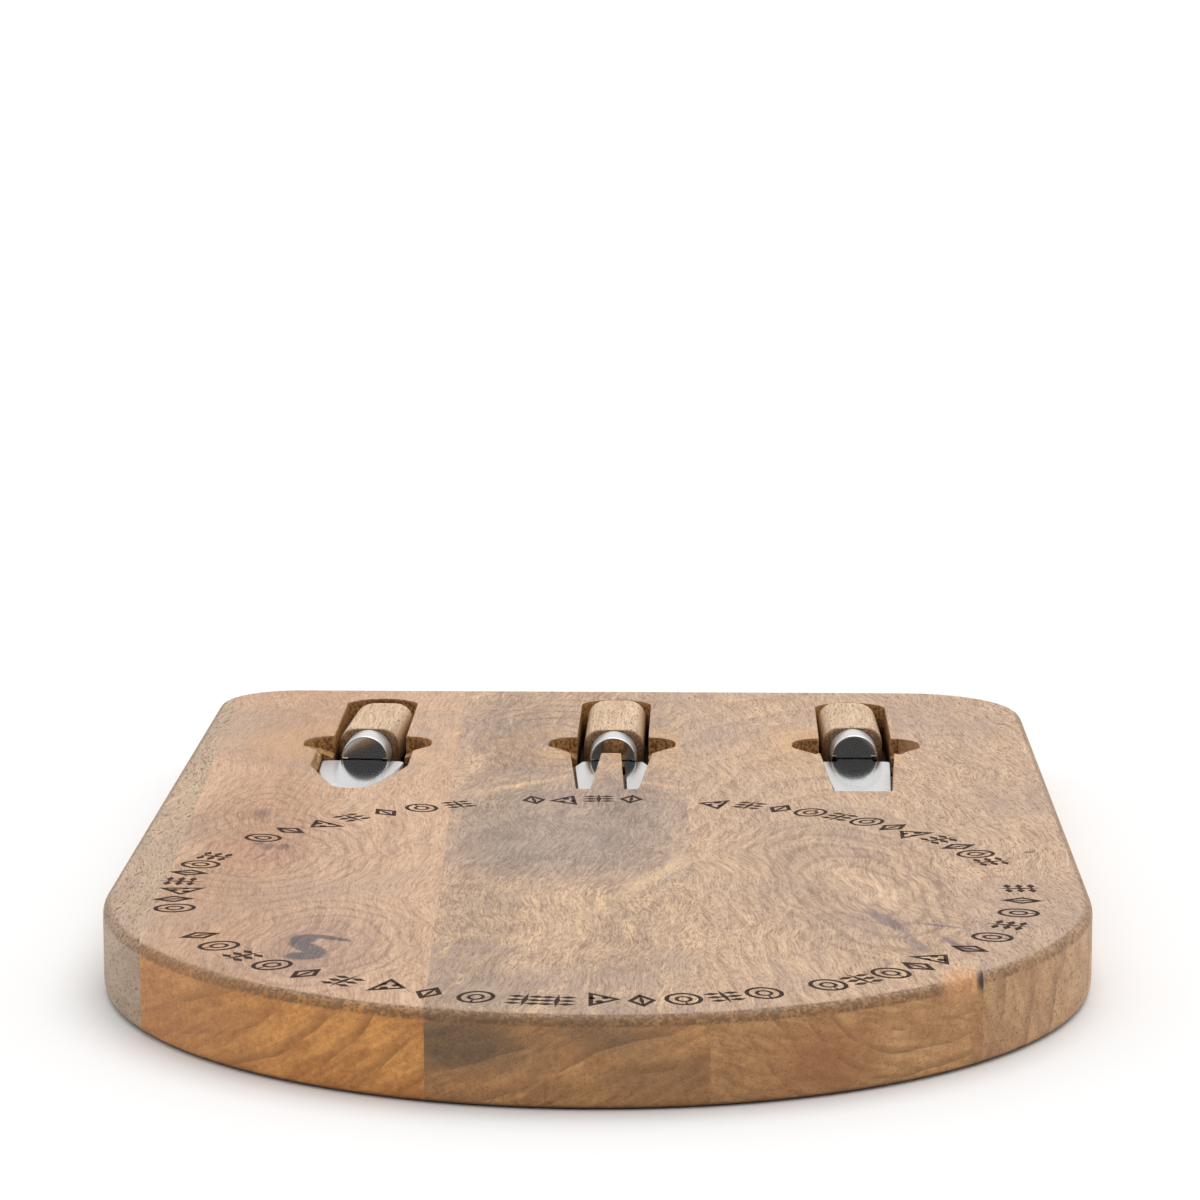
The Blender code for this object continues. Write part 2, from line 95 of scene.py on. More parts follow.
def isCorner(edge, least=50):
    # an outward corner between two faces, sharper than this many degrees
    return len(edge.link_faces) == 2 and edge.calc_face_angle_signed(0.0) > math.radians(least)


def middleOf(edge):
    return (edge.verts[0].co + edge.verts[1].co) / 2


def cleanCopy(node, name):
    # a copy of a plain solid: its loose triangles merged, and its flat faces made whole
    makeActive(frame["nodes"][node])
    bpy.ops.object.duplicate()
    piece = bpy.context.active_object
    piece.name = name
    piece.data.name = name
    for key in list(piece.keys()):
        del piece[key]
    bpy.ops.object.parent_clear(type="CLEAR_KEEP_TRANSFORM")
    bpy.ops.mesh.customdata_custom_splitnormals_clear()
    bpy.ops.object.mode_set(mode="EDIT")
    bpy.ops.mesh.select_all(action="SELECT")
    bpy.ops.mesh.remove_doubles(threshold=0.000004)
    bpy.ops.mesh.dissolve_limited(angle_limit=math.radians(0.6))
    bpy.ops.object.mode_set(mode="OBJECT")
    return piece


def finishPiece(piece, body, nodes, look, smooth=35):
    makeActive(piece)
    bpy.ops.object.shade_smooth_by_angle(angle=math.radians(smooth))
    weigh = piece.modifiers.new("flatFaces", "WEIGHTED_NORMAL")
    weigh.keep_sharp = True
    bpy.ops.object.modifier_apply(modifier=weigh.name)
    piece.data.materials.clear()
    piece.data.materials.append(look)
    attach(piece, body)
    if nodes:
        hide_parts(*nodes)
    return piece


# nodes of a material, with short ways to add what wood and steel need


class Nodes:
    def __init__(self, tree):
        self.tree = tree

    def add(self, kind, **settings):
        node = self.tree.nodes.new(kind)
        for key, value in settings.items():
            setattr(node, key, value)
        return node

    def feed(self, socket, value):
        if isinstance(value, bpy.types.NodeSocket):
            self.tree.links.new(value, socket)
        elif socket.type == "RGBA":
            socket.default_value = (*value, 1.0)
        else:
            socket.default_value = value

    def mapped(self, vector, location=(0, 0, 0), turn=(0, 0, 0), scale=(1, 1, 1)):
        # Texture mapping: takes the place away first, then turns and scales
        node = self.add("ShaderNodeMapping", vector_type="TEXTURE")
        self.feed(node.inputs["Vector"], vector)
        node.inputs["Location"].default_value = location
        node.inputs["Rotation"].default_value = turn
        node.inputs["Scale"].default_value = scale
        return node.outputs["Vector"]

    def noise(self, vector, scale, detail=2.0, rough=0.5, twist=0.0, out="Fac"):
        node = self.add("ShaderNodeTexNoise")
        self.feed(node.inputs["Vector"], vector)
        node.inputs["Scale"].default_value = scale
        node.inputs["Detail"].default_value = detail
        node.inputs["Roughness"].default_value = rough
        node.inputs["Distortion"].default_value = twist
        return node.outputs[out]

    def grain(self, vector, across, along, detail=2.0, rough=0.5, twist=0.0):
        # noise drawn out along the fibres, with its size across and along them in metres
        drawn = self.vectors("DIVIDE", vector, (across, along, across))
        return self.noise(drawn, 1.0, detail, rough, twist)

    def rings(self, vector, pith, lean, width, unrest):
        # growth rings round a line that leans from the Y axis
        tree = self.mapped(vector, (pith[0], 0, pith[1]), (lean[0], 0, lean[1]))
        node = self.add("ShaderNodeTexWave", wave_type="RINGS", rings_direction="Y", wave_profile="SAW")
        self.feed(node.inputs["Vector"], tree)
        node.inputs["Scale"].default_value = 2 * math.pi / (20 * width)
        node.inputs["Distortion"].default_value = unrest
        node.inputs["Detail"].default_value = 2.0
        node.inputs["Detail Scale"].default_value = 1.2
        return node.outputs["Fac"]

    def maths(self, operation, first, second=0.0):
        node = self.add("ShaderNodeMath", operation=operation)
        self.feed(node.inputs[0], first)
        self.feed(node.inputs[1], second)
        return node.outputs[0]

    def times(self, first, *others):
        for other in others:
            first = self.maths("MULTIPLY", first, other)
        return first

    def total(self, first, *others):
        for other in others:
            first = self.maths("ADD", first, other)
        return first

    def vectors(self, operation, first, second):
        node = self.add("ShaderNodeVectorMath", operation=operation)
        self.feed(node.inputs[0], first)
        self.feed(node.inputs["Scale" if operation == "SCALE" else 1], second)
        return node.outputs[0]

    def ramp(self, value, low, high, first=0.0, last=1.0):
        node = self.add("ShaderNodeMapRange", interpolation_type="SMOOTHSTEP")
        self.feed(node.inputs["Value"], value)
        node.inputs["From Min"].default_value = low
        node.inputs["From Max"].default_value = high
        node.inputs["To Min"].default_value = first
        node.inputs["To Max"].default_value = last
        return node.outputs["Result"]

    def mix(self, amount, first, second):
        # the colour sockets of a Mix node are numbers 6 and 7, and its colour comes out of number 2
        node = self.add("ShaderNodeMix", data_type="RGBA")
        self.feed(node.inputs[0], amount)
        self.feed(node.inputs[6], first)
        self.feed(node.inputs[7], second)
        return node.outputs[2]

    def pushed(self, vector, source, scale, amount):
        # the same place, pushed about by a soft noise
        push = self.vectors("SUBTRACT", self.noise(source, scale, 2.0, out="Color"), (0.5, 0.5, 0.5))
        return self.vectors("ADD", vector, self.vectors("SCALE", push, amount))

    def axes(self, vector):
        node = self.add("ShaderNodeSeparateXYZ")
        self.feed(node.inputs[0], vector)
        return node.outputs

    def normal(self):
        return self.axes(self.add("ShaderNodeNewGeometry").outputs["Normal"])

    def spot(self, vector, place, size, turn=0.0, edge=0.35):
        # 1 inside an ellipse about this place, falling to 0 outside it; also how far out a point lies
        place = (*place, 0.0)[:3]
        size = (*size, 1000.0)[:3]
        node = self.add("ShaderNodeVectorMath", operation="LENGTH")
        self.feed(node.inputs[0], self.mapped(vector, place, (0, 0, turn), size))
        out = node.outputs["Value"]
        return self.ramp(out, 1.0 - edge, 1.0 + edge, 1.0, 0.0), out

    def bump(self, height, strength, depth, under=None):
        node = self.add("ShaderNodeBump")
        node.inputs["Strength"].default_value = strength
        node.inputs["Distance"].default_value = depth
        self.feed(node.inputs["Height"], height)
        if under is not None:
            self.feed(node.inputs["Normal"], under)
        return node.outputs["Normal"]


def newLook(name):
    look = bpy.data.materials.new(name)
    look.use_nodes = True
    n = Nodes(look.node_tree)
    n.look = look
    n.shader = n.tree.nodes["Principled BSDF"]
    n.place = n.add("ShaderNodeTexCoord").outputs["Object"]
    return n


# wood

staveWood = {
    "light": (0.77, 0.525, 0.335),       # top, between the fibres
    "dark": (0.34, 0.20, 0.125),         # top, in the fibres
    "sheenGold": (0.88, 0.60, 0.33),          # painted sheen: the curly streaks where they catch the light
    "bloom": (0.41, 0.29, 0.225),        # greyish pink clouds
    "sideLight": (0.64, 0.38, 0.19),
    "sideDark": (0.36, 0.175, 0.075),
    "sideLine": (0.20, 0.085, 0.03),
    "rim": (0.25, 0.135, 0.062),         # the rounded rim is darker
    "rimStrength": 0.75,
    "paintedFootShade": (0.10, 0.05, 0.022),     # painted shade along the bottom edge, dark where it meets the table
    "pore": (0.15, 0.075, 0.045),
    "pith": (0.0, -0.05),                # x and z of the middle of the tree
    "lean": (0.03, 0.0),                 # how far it leans from the board's length
    "ringWidth": 0.0065,
    "sidePith": (0.0, -0.05),            # the same for the figure on the sides
    "sideRing": 0.009,
    "sideLines": 0.5,
    "sideSlant": 0.0,
    "slant": 0.0,                        # how the fibres run across the stave
    "fine": 0.36,
    "streaks": 0.30,
    "figure": 0.18,
    "curl": 0.15,
    "sheenStrength": 0.25,
    "blooming": 0.55,
    "pores": 0.5,
    "sweep": 0.022,                      # how far the fibres wander, slowly and then quickly, in metres
    "wave": 0.0028,
    "shift": 0.0,                        # sets one stave's pattern apart from the next
}

staveKinds = {
    1: {"pith": (-0.17, -0.02), "light": (0.71, 0.505, 0.325), "dark": (0.34, 0.225, 0.135), "pores": 1.0,
        "sideLight": (0.56, 0.41, 0.275), "sideDark": (0.39, 0.27, 0.175), "sideLines": 0.2, "shift": 3.1,
        "rimStrength": 0.5, "sheenStrength": 0.1},
    2: {"pith": (-0.105, 0.055), "lean": (0.02, 0.05), "ringWidth": 0.008, "shift": 7.7,
        "light": (0.77, 0.51, 0.325), "dark": (0.40, 0.225, 0.135), "pores": 0.35, "curl": 0.1,
        "sideLight": (0.92, 0.44, 0.13), "sideDark": (0.45, 0.165, 0.045), "sideLine": (0.30, 0.115, 0.03),
        "sidePith": (-0.115, 0.055), "sideLines": 0.6, "sideSlant": -0.6},
    3: {"pith": (-0.02, -0.035), "lean": (-0.16, 0.04), "ringWidth": 0.0075, "shift": 12.4, "slant": -0.05,
        "bloom": (0.37, 0.27, 0.21), "curl": 0.34, "fine": 0.28, "sheenStrength": 0.6, "rimStrength": 0.85,
        "sideLight": (0.76, 0.40, 0.165), "sideDark": (0.33, 0.155, 0.060), "sidePith": (-0.06, 0.13),
        "sideSlant": -0.45},
    4: {"pith": (0.064, -0.012), "lean": (-0.24, 0.0), "light": (0.78, 0.54, 0.345), "curl": 0.15,
        "sideLight": (0.74, 0.41, 0.18), "sideDark": (0.37, 0.175, 0.068), "sidePith": (0.083, 0.035),
        "sideSlant": 0.3, "shift": 18.9, "slant": 0.10, "sheenStrength": 0.3, "sideRing": 0.006, "figure": 0.26},
    5: {"pith": (0.16, -0.06), "lean": (0.02, 0.03), "light": (0.78, 0.54, 0.35), "pores": 0.7, "curl": 0.2,
        "sideLight": (0.68, 0.40, 0.20), "sideDark": (0.40, 0.215, 0.095), "sidePith": (0.055, 0.012),
        "sideSlant": 1.2, "shift": 23.3, "slant": 0.12, "sideRing": 0.007, "rimStrength": 0.6},
}

# where the router has cut
pocketWood = {
    "middle": 0.112,                     # y of the pockets' middles
    "across": 0.0225,                    # every wall of a pocket lies within this of its middle
    "along": 0.082,
    "warmed": (0.72, 0.38, 0.145),       # the top round a pocket
    "warmth": 0.4,
    "warmReach": (0.031, 0.032),
    "endLight": (0.56, 0.30, 0.105),     # end grain on the walls
    "endDark": (0.20, 0.092, 0.028),
    "shade": (0.014, 0.007, 0.004),      # painted shade, low down between the walls
    "shadeFrom": 0.0035,                 # below the top
    "shadeTo": 0.0105,
}


def woodNodes(name, wood):
    # what board and handle wood share: wandering fibres, rings and pores
    n = newLook(name)
    shift = (wood["shift"], wood["shift"] * 0.37, wood["shift"] * 0.61)
    shifted = n.vectors("ADD", n.place, shift)
    bent = n.pushed(n.place, shifted, 14.0, wood["sweep"])
    bent = n.pushed(bent, shifted, 55.0, wood["wave"])
    slanted = n.vectors("ADD", n.mapped(bent, turn=(0, 0, wood["slant"])), shift)
    n.shifted = shifted
    n.bent = bent
    n.slanted = slanted
    n.fine = n.ramp(n.grain(slanted, 0.00055, 0.012, 2.0, 0.6, 0.5), 0.36, 0.64)
    n.streak = n.ramp(n.grain(slanted, 0.0019, 0.040, 3.0, 0.6, 0.8), 0.35, 0.65)
    n.pore = n.ramp(n.grain(slanted, 0.00045, 0.0040, 1.0), 0.58, 0.68)
    n.ring = n.rings(bent, wood["pith"], wood["lean"], wood["ringWidth"], 2.2)
    return n


def sideWood(n, wood):
    # colour of the sides: slanting streaks, cloudy tone and thin dark rings
    turned = n.mapped(n.shifted, turn=(0, wood["sideSlant"], 0))
    drawn = n.vectors("DIVIDE", turned, (0.011, 0.02, 0.0022))
    streak = n.ramp(n.noise(drawn, 1.0, 3.0, 0.6, 0.6), 0.34, 0.66)
    speck = n.ramp(n.noise(n.shifted, 700.0, 3.0, 0.65), 0.35, 0.65)
    cloud = n.ramp(n.noise(n.shifted, 70.0, 3.0, 0.6), 0.35, 0.65)
    tone = n.total(n.times(streak, 0.36), n.times(speck, 0.24), n.times(cloud, 0.40))
    colour = n.mix(tone, wood["sideLight"], wood["sideDark"])
    saw = n.rings(n.bent, wood["sidePith"], (0.0, 0.0), wood["sideRing"], 1.6)
    line = n.times(n.ramp(saw, 0.55, 0.97), n.ramp(cloud, 0.9, 0.2), wood["sideLines"])
    return n.mix(line, colour, wood["sideLine"])


def staveLook(number, top, centres):
    wood = {**staveWood, **staveKinds[number]}
    n = woodNodes(f"mangoStave{number}", wood)
    height = n.axes(n.place)[2]
    facing = n.normal()[2]
    upward = n.ramp(facing, 0.62, 0.95)
    flat = n.maths("MAXIMUM", upward, n.ramp(facing, -0.62, -0.95))
    curly = n.ramp(n.grain(n.slanted, 0.0016, 0.0085, 2.5, 0.6, 2.2), 0.38, 0.62)
    band = n.ramp(n.grain(n.slanted, 0.006, 0.060, 2.5, 0.6, 1.2), 0.5, 0.66)
    cloud = n.noise(n.shifted, 16.0, 3.0, 0.55)
    cloudFine = n.noise(n.shifted, 48.0, 3.0, 0.6)

    # how dark the top is at each point
    n.tone = n.total(n.times(n.fine, wood["fine"]), n.times(n.streak, wood["streaks"]),
                     n.times(n.ring, wood["figure"]), n.times(curly, wood["curl"]))
    topColour = n.mix(n.tone, wood["light"], wood["dark"])
    topColour = n.mix(n.times(n.ramp(cloud, 0.45, 0.66), wood["blooming"]), topColour, wood["bloom"])
    # painted sheen: golden streaks on the curly figure where it catches the light
    paintedSheen = n.times(band, n.maths("SUBTRACT", 1.0, curly), wood["sheenStrength"])
    topColour = n.mix(paintedSheen, topColour, wood["sheenGold"])
    base = n.mix(flat, sideWood(n, wood), topColour)

    # the rounded rim, and painted shade along the bottom edge
    speckle = n.ramp(n.noise(n.shifted, 900.0, 2.0, 0.6), 0.42, 0.62)
    rim = n.times(n.ramp(facing, 0.0, 0.3), n.ramp(facing, 0.93, 0.998, 1.0, 0.0), wood["rimStrength"])
    rim = n.times(rim, n.total(0.5, n.times(speckle, 1.1)), n.ramp(cloudFine, 0.3, 0.6, 0.7, 1.15))
    base = n.mix(rim, base, wood["rim"])
    # painted shade: the wood darkens towards its foot, where it meets the table
    base = n.mix(n.ramp(height, 0.0016, 0.0004, 0.0, 0.6), base, wood["paintedFootShade"])

    base = n.mix(n.times(n.pore, wood["pores"], 0.75), base, wood["pore"])
    for flaw in staveFlaws.get(number, ()):
        base = flawedWood(n, base, flaw, upward)

    # round the pockets the router has warmed the wood, and inside them it is end grain, then painted shade
    # lower down
    cut = pocketWood
    for centre in centres:
        near = n.spot(n.bent, centre, cut["warmReach"], edge=0.45)[0]
        warmth = n.times(near, n.ramp(cloudFine, 0.35, 0.6), cut["warmth"])
        base = n.mix(n.times(warmth, upward), base, cut["warmed"])
        inside = pocketMask(n, centre, height, top)
        flecks = n.ramp(n.total(n.times(speckle, 0.6), n.times(cloudFine, 0.5)), 0.2, 0.75)
        base = n.mix(n.times(inside, 0.92), base, n.mix(flecks, cut["endLight"], cut["endDark"]))
        # painted shade, deepening from just below the top towards the pocket floor
        shadeLowDown = n.ramp(height, top - cut["shadeFrom"], top - cut["shadeTo"])
        base = n.mix(n.times(inside, shadeLowDown, 0.93), base, cut["shade"])

    n.feed(n.shader.inputs["Base Color"], base)
    rough = n.total(0.46, n.times(n.fine, 0.10), n.times(n.pore, 0.18))
    n.feed(n.shader.inputs["Roughness"], rough)
    n.shader.inputs["Specular IOR Level"].default_value = 0.35
    grain = n.bump(n.total(n.fine, n.times(curly, 0.5)), 0.22, 0.00025)
    pits = n.bump(n.maths("SUBTRACT", 1.0, n.pore), 0.35, 0.0003, grain)
    n.feed(n.shader.inputs["Normal"], n.bump(cloudFine, 0.12, 0.0012, pits))
    return n.look


def pocketMask(n, centre, height, top):
    # inside the pocket that is round this place: below the top, and not as far out as the board's sides
    below = n.times(n.ramp(height, top - 0.0002, top - 0.0010), n.ramp(height, 0.001, 0.002))
    local = n.axes(n.mapped(n.place, (*centre, 0)))
    fits = [n.ramp(n.maths("ABSOLUTE", local[axis]), pocketWood[reach], pocketWood[reach] + 0.0005, 1.0, 0.0)
            for axis, reach in ((0, "across"), (1, "along"))]
    return n.times(below, *fits)


def flawAt(place, size, tint, strength, edge=0.4, turn=0.0, rings=0.0):
    # rings is the distance from one dark ring to the next, as a share of the flaw's size
    return {"place": place, "size": size, "tint": tint, "strength": strength,
            "edge": edge, "turn": turn, "rings": rings}


knotTint = (0.19, 0.115, 0.105)
stainTint = (0.115, 0.085, 0.085)
leafTint = (0.24, 0.16, 0.15)
dashTint = (0.05, 0.03, 0.02)

# knots, stains, the rings round them and other darker or lighter patches, on the staves that have them
staveFlaws = {
    2: (
        flawAt((-0.0973, 0.0141), (0.017, 0.044), (0.34, 0.175, 0.105), 0.55, 0.45, rings=0.19),
        flawAt((-0.0973, 0.0141), (0.0024, 0.0068), knotTint, 0.95, 0.5),
        flawAt((-0.0930, -0.0330), (0.036, 0.062), (0.34, 0.18, 0.11), 0.5, 0.4, rings=0.13),
        flawAt((-0.0930, -0.0330), (0.011, 0.020), (0.48, 0.24, 0.16), 0.5, 0.6),
        flawAt((-0.0944, -0.0221), (0.0017, 0.0038), knotTint, 0.9),
        flawAt((-0.0915, -0.0268), (0.0019, 0.0040), knotTint, 0.95),
        flawAt((-0.0871, -0.0267), (0.0017, 0.0036), knotTint, 0.9),
        flawAt((-0.0925, -0.0385), (0.0007, 0.0032), knotTint, 0.8, turn=-0.3),
        flawAt((-0.0690, -0.1340), (0.029, 0.052), (0.34, 0.20, 0.135), 0.6, 0.45, rings=0.14),
        # a darker brown patch on this stave's left, along its whole length, on front and top alike
        flawAt((-0.0960, -0.1500, 0.0120), (0.0150, 1000, 0.0300), (0.42, 0.20, 0.085), 0.35, 0.8),
        flawAt((-0.0690, -0.1340), (0.015, 0.030), (0.38, 0.225, 0.165), 0.5, 0.5),
        flawAt((-0.0722, -0.1280), (0.0036, 0.0048), stainTint, 0.9, 0.2),
        flawAt((-0.0660, -0.1265), (0.0017, 0.0066), stainTint, 0.9, 0.25, 1.06),
        flawAt((-0.0702, -0.1370), (0.0031, 0.0080), stainTint, 0.9, 0.2, 0.60),
        flawAt((-0.0705, -0.1448), (0.0050, 0.0036), stainTint, 0.9, 0.2),
    ),
    3: (
        flawAt((-0.018, 0.122), (0.030, 0.060), (0.32, 0.20, 0.14), 0.6, 0.45, rings=0.16),
        flawAt((-0.006, 0.012), (0.034, 0.066), (0.36, 0.26, 0.21), 0.65, 0.6, 0.1),
        flawAt((-0.016, -0.035), (0.026, 0.022), (0.33, 0.25, 0.21), 0.5, 0.7, -0.9),
        flawAt((0.0020, 0.0200), (0.030, 0.020), (0.33, 0.235, 0.19), 0.5, 0.5, 0.25, rings=0.35),
        flawAt((0.0100, -0.0700), (0.0030, 0.036), (0.80, 0.55, 0.32), 0.65, 0.7, -0.38),
        flawAt((-0.0240, 0.0560), (0.0020, 0.018), (0.80, 0.51, 0.26), 0.65, 0.8, -0.85),
        flawAt((0.0200, 0.0520), (0.0016, 0.014), (0.80, 0.51, 0.26), 0.6, 0.8, 1.0),
        flawAt((-0.0290, -0.1900, 0.0150), (0.0150, 1000, 0.0065), (0.13, 0.095, 0.060), 0.75, 0.7),
        flawAt((0.0060, -0.1900, 0.0180), (0.0110, 1000, 0.0040), (0.15, 0.105, 0.065), 0.55, 0.8),
        flawAt((0.0180, -0.1900, 0.0080), (0.0110, 1000, 0.0050), (0.30, 0.16, 0.075), 0.6, 0.8),
    ),
    4: (
        flawAt((0.0705, -0.0720), (0.0270, 0.0820), (0.34, 0.21, 0.135), 0.6, 0.3, 0.16, rings=0.15),
        flawAt((0.0705, -0.0700), (0.0075, 0.0220), (0.80, 0.55, 0.36), 0.45, 0.6, 0.38),
        flawAt((0.0745, -0.1060), (0.0022, 0.0125), leafTint, 0.9, 0.5, 0.36),
        flawAt((0.0812, -0.1304), (0.0018, 0.0080), leafTint, 0.8, 0.5, 0.25),
        flawAt((0.0880, -0.1104), (0.0011, 0.0068), leafTint, 0.9, 0.5, 1.13),
        flawAt((0.0909, -0.1302), (0.0012, 0.0105), leafTint, 0.85, 0.5, 0.36),
        flawAt((0.0915, -0.1640, 0.0215), (0.0055, 0.0110, 0.0036), (0.74, 0.37, 0.16), 0.75, 0.5),
        flawAt((0.0958, -0.1590, 0.0215), (0.0016, 0.0070, 0.0026), (0.03, 0.02, 0.02), 0.95, 0.5),
        flawAt((0.0560, -0.1850, 0.0095), (0.0100, 1000, 0.0080), (0.38, 0.15, 0.055), 0.6, 0.8),
    ),
    5: (
        flawAt((0.1202, 0.147), (0.0014, 0.0007), dashTint, 0.9),
        flawAt((0.1162, -0.028), (0.0016, 0.0008), dashTint, 0.9),
    ),
}


def flawedWood(n, base, flaw, upward):
    # the fibres still show through a flaw, and one with no height of its own is only on the top
    least = min(flaw["size"][:2])
    near = n.pushed(n.place, n.place, 110.0, least * (0.08 if flaw["rings"] else 0.45))
    if flaw["rings"]:
        near = n.pushed(near, n.shifted, 28.0, least * 0.5)
    mask, out = n.spot(near, flaw["place"], flaw["size"], flaw["turn"], flaw["edge"])
    between, inFibres = (tuple(channel * share for channel in flaw["tint"]) for share in (1.35, 0.6))
    colour = n.mix(n.tone, between, inFibres)
    if flaw["rings"]:
        wave = n.maths("SINE", n.times(out, 2 * math.pi / flaw["rings"]))
        mask = n.times(mask, n.total(0.15, n.times(n.ramp(wave, 0.2, 1.0), 0.85)))
    if len(flaw["place"]) == 2:
        mask = n.times(mask, upward)
    return n.mix(n.times(mask, flaw["strength"]), base, colour)


handleWood = {
    "light": (0.83, 0.595, 0.385), "dark": (0.50, 0.315, 0.175), "pore": (0.17, 0.09, 0.042),
    "endGrainAndShade": (0.20, 0.10, 0.038), "flankShade": (0.45, 0.25, 0.11), "pith": (0.03, -0.06), "lean": (0.02, 0.03),
    "ringWidth": 0.006, "sweep": 0.006, "wave": 0.0018,
}


def handleLook(tool, number):
    wood = {**staveWood, **handleWood, "shift": 31.0 + 4.3 * number}
    n = woodNodes(f"{tool}HandleWood", wood)
    facing = n.normal()
    tone = n.total(n.times(n.ring, 0.2), n.times(n.fine, 0.4), n.times(n.streak, 0.4))
    base = n.mix(tone, wood["light"], wood["dark"])
    base = n.mix(n.times(n.pore, 0.75), base, wood["pore"])
    # painted shade makes the flanks browner, and the front shoulder is end grain, dark where it meets the
    # ferrule: partly its own colour and partly painted shade
    flankShade = n.ramp(n.maths("ABSOLUTE", facing[0]), 0.45, 0.95, 0.0, 0.5)
    base = n.mix(flankShade, base, wood["flankShade"])
    speckle = n.ramp(n.noise(n.shifted, 1500.0, 2.0, 0.6), 0.4, 0.6, 0.45, 0.9)
    # the front-facing shoulder: darker end grain together with painted shade
    end = n.times(n.ramp(facing[1], -0.2, -0.75), speckle)
    base = n.mix(end, base, wood["endGrainAndShade"])
    n.feed(n.shader.inputs["Base Color"], base)
    n.feed(n.shader.inputs["Roughness"], n.total(0.42, n.times(n.fine, 0.14)))
    n.shader.inputs["Specular IOR Level"].default_value = 0.4
    grain = n.bump(n.fine, 0.25, 0.0003)
    n.feed(n.shader.inputs["Normal"], n.bump(n.maths("SUBTRACT", 1.0, n.pore), 0.3, 0.0002, grain))
    return n.look


# steel

# bright and satin are how rough the mirror and the satin are, metal is how metallic the satin is, and lines
# are drawn out along the smallest number's axis
steelLooks = {
    "blade": {"colour": (0.80, 0.80, 0.80), "bright": 0.07, "satin": 0.32, "metal": 0.62,
              "lines": (1, 0.02, 1)},
    "ferrule": {"colour": (0.82, 0.82, 0.82), "bright": 0.04, "satin": 0.26, "metal": 0.70,
                "lines": (0.04, 1, 0.04)},
}


def polishedBlade(n, tool):
    # brightest in a long oval in front of the ferrule, and satin towards the edges
    low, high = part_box(f"{tool}_ferrule")
    middle = ((low.x + high.x) / 2, low.y)
    radius = (high.x - low.x) / 2
    return n.spot(n.place, middle, (radius * 1.12, radius * 6), edge=0.25)[0]


def steelLook(tool, kind):
    steel = steelLooks[kind]
    n = newLook(f"{tool}{kind.capitalize()}Steel")
    smudge = n.noise(n.place, 180.0, 3.0, 0.6)
    lines = n.noise(n.vectors("MULTIPLY", n.place, steel["lines"]), 5200.0, 2.0)
    worn = tuple(channel * 0.95 for channel in steel["colour"])
    n.feed(n.shader.inputs["Base Color"], n.mix(n.ramp(smudge, 0.3, 0.75), steel["colour"], worn))
    # a ferrule's turned face is a mirror, and its round side is satin
    polish = polishedBlade(n, tool) if kind == "blade" else n.ramp(n.normal()[1], -0.35, -0.8)
    finish = n.ramp(polish, 0.0, 1.0, steel["satin"], steel["bright"])
    n.feed(n.shader.inputs["Roughness"], n.total(finish, n.times(smudge, 0.05), n.times(lines, 0.02)))
    n.feed(n.shader.inputs["Metallic"], n.ramp(polish, 0.0, 1.0, steel["metal"], 1.0))
    n.feed(n.shader.inputs["Normal"], n.bump(lines, 0.02, 0.00005))
    return n.look


# board

board = {
    "seamTurn": math.radians(1.76),
    "seamGap": 0.0003,
    "cornerRound": 0.0011,   # upright corners between notch, slot and bed
    "rimRound": 0.00045,     # sanded rims of the pockets
    "seamArea": 0.0005,      # a seam's face is larger than this
    "pocketAcross": 0.104,   # the pockets lie between plus and minus this x
    "pocketAlong": (0.02, 0.186),
    "pocketDepth": 0.016,
}
acrossSeams = Vector((math.cos(board["seamTurn"]), math.sin(board["seamTurn"]), 0))


def isSeamFace(face):
    return abs(face.normal.dot(acrossSeams)) > 0.99995 and face.calc_area() > board["seamArea"]


def closeSeams(piece):
    # the staves are glued, so each one's seam faces move out to meet its neighbour
    half = board["seamGap"] / 2 / acrossSeams.x
    for side in (1, -1):
        if pick(piece, "FACE", lambda face: isSeamFace(face) and face.normal.dot(acrossSeams) * side > 0):
            bpy.ops.transform.translate(value=(side * half, 0, 0))
    bpy.ops.object.mode_set(mode="OBJECT")


def roundRims(piece):
    def upright(edge):
        direction = (edge.verts[0].co - edge.verts[1].co).normalized()
        middle = middleOf(edge)
        front, back = board["pocketAlong"]
        inPockets = abs(middle.x) < board["pocketAcross"] and front < middle.y < back
        deepEnough = middle.z > topZ - board["pocketDepth"]
        return inPockets and abs(direction.z) > 0.98 and isCorner(edge, 25) and deepEnough

    def rim(edge):
        level = all(abs(vert.co.z - topZ) < 0.00002 for vert in edge.verts)
        return level and isCorner(edge) and not any(isSeamFace(face) for face in edge.link_faces)

    if pick(piece, "EDGE", upright):
        bpy.ops.mesh.bevel(offset=board["cornerRound"], segments=3, profile=0.5, clamp_overlap=True)
    if pick(piece, "EDGE", rim):
        bpy.ops.mesh.bevel(offset=board["rimRound"], segments=3, profile=0.5, clamp_overlap=True)
    bpy.ops.object.mode_set(mode="OBJECT")


def makeBoard():
    centres = []
    for tool in tools:
        low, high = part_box(f"{tool}_ferrule")
        centres.append((round((low.x + high.x) / 2, 3), pocketWood["middle"]))
    homes = {2: centres[:1], 3: centres[1:2], 4: centres[2:]}
    for number in range(1, 6):
        node = f"board_stave_{number}"
        piece = cleanCopy(node, f"stave{number}")
        closeSeams(piece)
        roundRims(piece)
        look = staveLook(number, topZ, homes.get(number, ()))
        finishPiece(piece, "board", [node], look, 40)
    print("board done")


# engraved ring: rows of small cheese and leaf marks, thin dark pieces let into the top

